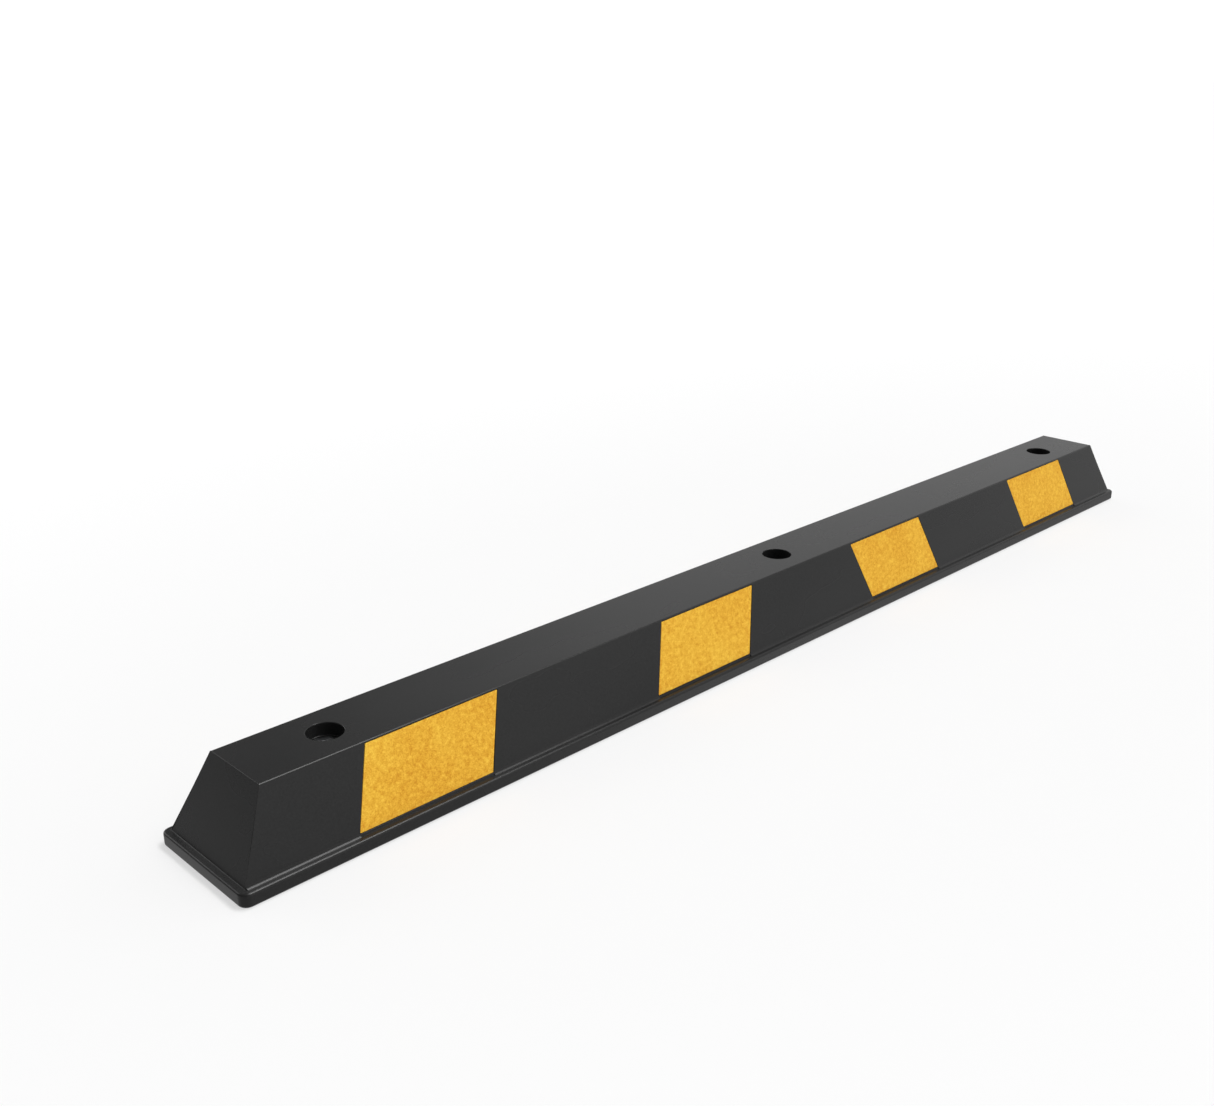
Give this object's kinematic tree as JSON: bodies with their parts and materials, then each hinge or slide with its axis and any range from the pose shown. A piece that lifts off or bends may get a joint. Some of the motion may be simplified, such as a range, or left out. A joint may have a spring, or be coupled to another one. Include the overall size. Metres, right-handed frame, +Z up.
{
  "type": "rubber wheel stop",
  "caption": "Long moulded rubber bar of trapezoid section on a foot flange, with recessed anchor holes along its top and slanted yellow reflective panels on both long sides.",
  "frame": {"origin": "on the ground plane, at the middle of the bar's length and width", "axes": "+X along the bar, +Y across it towards the rear side, +Z up"},
  "size_m": [1.65, 0.15, 0.095],
  "materials": {
    "moulded_rubber": "satin moulded black rubber",
    "reflective_sheet": "golden yellow beaded retroreflective sheet, fine grained",
    "zinc_plated_steel": "dull black-passivated zinc plating"
  },
  "bodies": {
    "root": {"rubber_body": "moulded_rubber", "front_panel_1": "reflective_sheet", "front_panel_2": "reflective_sheet", "front_panel_3": "reflective_sheet", "front_panel_4": "reflective_sheet", "rear_panel_1": "reflective_sheet", "rear_panel_2": "reflective_sheet", "rear_panel_3": "reflective_sheet", "rear_panel_4": "reflective_sheet", "seat_washer_left": "zinc_plated_steel", "seat_washer_middle": "zinc_plated_steel", "seat_washer_right": "zinc_plated_steel"}
  },
  "joints": []
}
